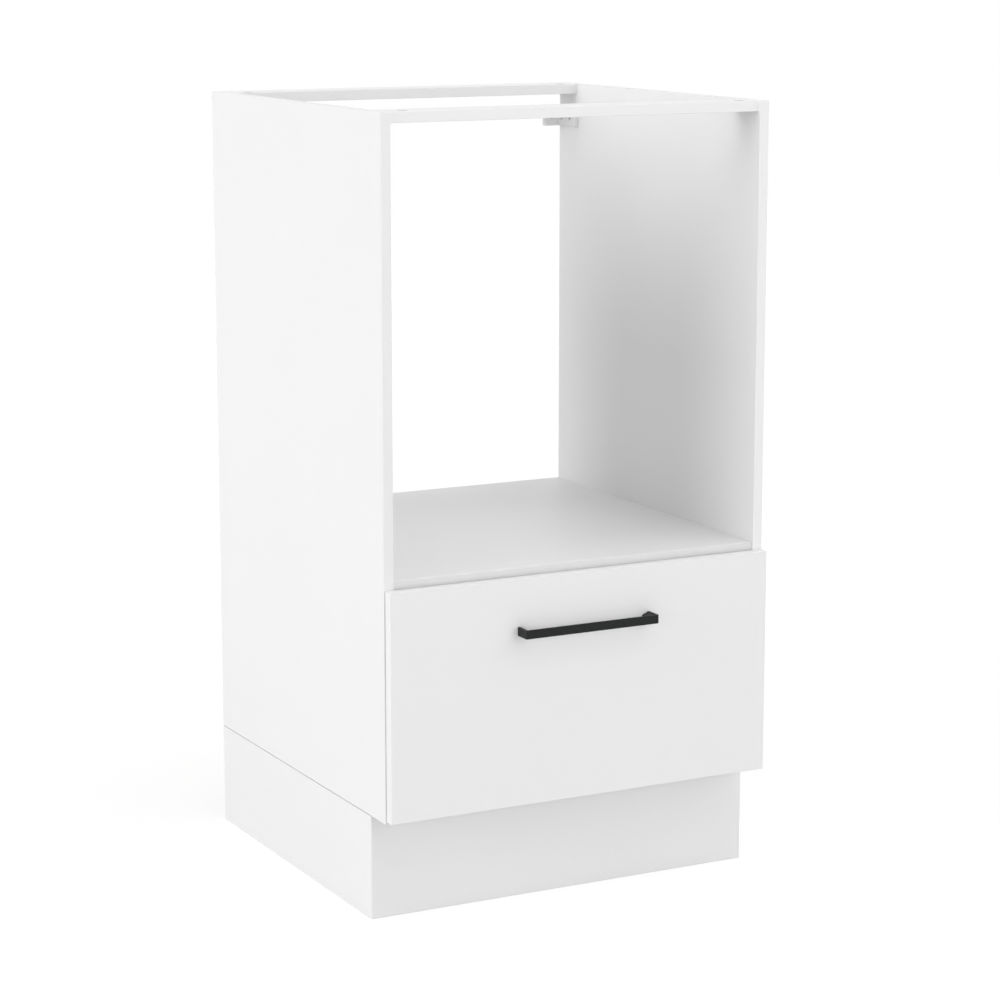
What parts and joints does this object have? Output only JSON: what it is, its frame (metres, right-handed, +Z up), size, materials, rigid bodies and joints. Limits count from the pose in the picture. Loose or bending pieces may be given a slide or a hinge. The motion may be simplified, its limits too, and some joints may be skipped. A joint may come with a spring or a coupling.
{
  "type": "oven base cabinet",
  "caption": "Tall kitchen cabinet for a built-in oven: open niche over a deep drawer with a bow handle, on a set-back plinth.",
  "frame": {"origin": "on the floor, in the middle of the cabinet's bounding box, seen from above", "axes": "+Z up, +Y from the drawer front to the wall, +X to the right for someone who faces the drawer"},
  "size_m": [0.6, 0.622, 1.115],
  "materials": {
    "white_board": "white melamine on particle board, fine grain, matt",
    "white_front": "white melamine front, smooth, satin",
    "white_hardboard": "white painted hardboard, brown fibre at the edges",
    "black_metal": "black powder coat, satin",
    "runner_steel": "zinc plated strip steel",
    "zinc_screws": "zinc plated",
    "bolt_steel": "zinc plated",
    "cast_zinc": "die cast zinc, dull",
    "beech": "beech, fluted and unpainted",
    "ball_steel": "polished balls",
    "cage_plastic": "moulded",
    "leg_plastic": "moulded, fine grain",
    "angle_plastic": "moulded",
    "bracket_plastic": "moulded, light grey",
    "buffer_rubber": "soft and clear"
  },
  "bodies": {
    "carcass": {"bottom_panel": "white_board", "cam_bolts": "bolt_steel", "cam_locks": "cast_zinc", "front_top_rail": "white_board", "left_runner_outer": "runner_steel", "left_side_panel": "white_board", "leg_and_plinth_screws": "zinc_screws", "leg_foot_front_left": "leg_plastic", "leg_foot_front_right": "leg_plastic", "leg_foot_rear_left": "leg_plastic", "leg_foot_rear_right": "leg_plastic", "leg_socket_front_left": "leg_plastic", "leg_socket_front_right": "leg_plastic", "leg_socket_rear_left": "leg_plastic", "leg_socket_rear_right": "leg_plastic", "leg_tube_front_left": "leg_plastic", "leg_tube_front_right": "leg_plastic", "leg_tube_rear_left": "leg_plastic", "leg_tube_rear_right": "leg_plastic", "lower_back_panel": "white_hardboard", "oven_shelf": "white_board", "plinth_clips": "leg_plastic", "plinth_corner_angle_left": "angle_plastic", "plinth_corner_angle_right": "angle_plastic", "plinth_front_board": "white_board", "plinth_left_board": "white_board", "plinth_right_board": "white_board", "rear_top_rail": "white_board", "right_runner_outer": "runner_steel", "right_side_panel": "white_board", "runner_outer_screws": "zinc_screws", "wall_bracket_left": "bracket_plastic", "wall_bracket_right": "bracket_plastic", "wall_bracket_screws": "zinc_screws", "wood_dowels": "beech"},
    "drawer": {"drawer_front": "white_front", "drawer_left_side": "white_board", "drawer_right_side": "white_board", "drawer_rear_panel": "white_board", "drawer_bottom_panel": "white_hardboard", "drawer_cam_locks": "cast_zinc", "drawer_cam_bolts": "bolt_steel", "drawer_dowels": "beech", "drawer_screws": "zinc_screws", "handle": "black_metal", "handle_screws": "zinc_screws", "left_runner_inner": "runner_steel", "right_runner_inner": "runner_steel", "runner_inner_screws": "zinc_screws", "front_buffers": "buffer_rubber"},
    "left_runner_middle": {"left_runner_middle": "runner_steel"},
    "left_outer_ball_cage": {"left_outer_ball_cage": "cage_plastic", "left_outer_balls": "ball_steel"},
    "left_inner_ball_cage": {"left_inner_ball_cage": "cage_plastic", "left_inner_balls": "ball_steel"},
    "right_runner_middle": {"right_runner_middle": "runner_steel"},
    "right_outer_ball_cage": {"right_outer_ball_cage": "cage_plastic", "right_outer_balls": "ball_steel"},
    "right_inner_ball_cage": {"right_inner_ball_cage": "cage_plastic", "right_inner_balls": "ball_steel"}
  },
  "joints": [
    {"name": "drawer_slide", "type": "slide", "parent": "carcass", "child": "drawer", "axis": [0, -1, 0], "range_m": [0, 0.48]},
    {"name": "left_runner_middle_slide", "type": "slide", "parent": "carcass", "child": "left_runner_middle", "axis": [0, -1, 0], "range_m": [0, 0.24]},
    {"name": "left_outer_ball_cage_slide", "type": "slide", "parent": "carcass", "child": "left_outer_ball_cage", "axis": [0, -1, 0], "range_m": [0, 0.12]},
    {"name": "left_inner_ball_cage_slide", "type": "slide", "parent": "carcass", "child": "left_inner_ball_cage", "axis": [0, -1, 0], "range_m": [0, 0.36]},
    {"name": "right_runner_middle_slide", "type": "slide", "parent": "carcass", "child": "right_runner_middle", "axis": [0, -1, 0], "range_m": [0, 0.24]},
    {"name": "right_outer_ball_cage_slide", "type": "slide", "parent": "carcass", "child": "right_outer_ball_cage", "axis": [0, -1, 0], "range_m": [0, 0.12]},
    {"name": "right_inner_ball_cage_slide", "type": "slide", "parent": "carcass", "child": "right_inner_ball_cage", "axis": [0, -1, 0], "range_m": [0, 0.36]}
  ],
  "couplings": [
    {"joint": "left_runner_middle_slide", "follows": "drawer_slide", "ratio": 0.5},
    {"joint": "left_outer_ball_cage_slide", "follows": "drawer_slide", "ratio": 0.25},
    {"joint": "left_inner_ball_cage_slide", "follows": "drawer_slide", "ratio": 0.75},
    {"joint": "right_runner_middle_slide", "follows": "drawer_slide", "ratio": 0.5},
    {"joint": "right_outer_ball_cage_slide", "follows": "drawer_slide", "ratio": 0.25},
    {"joint": "right_inner_ball_cage_slide", "follows": "drawer_slide", "ratio": 0.75}
  ]
}
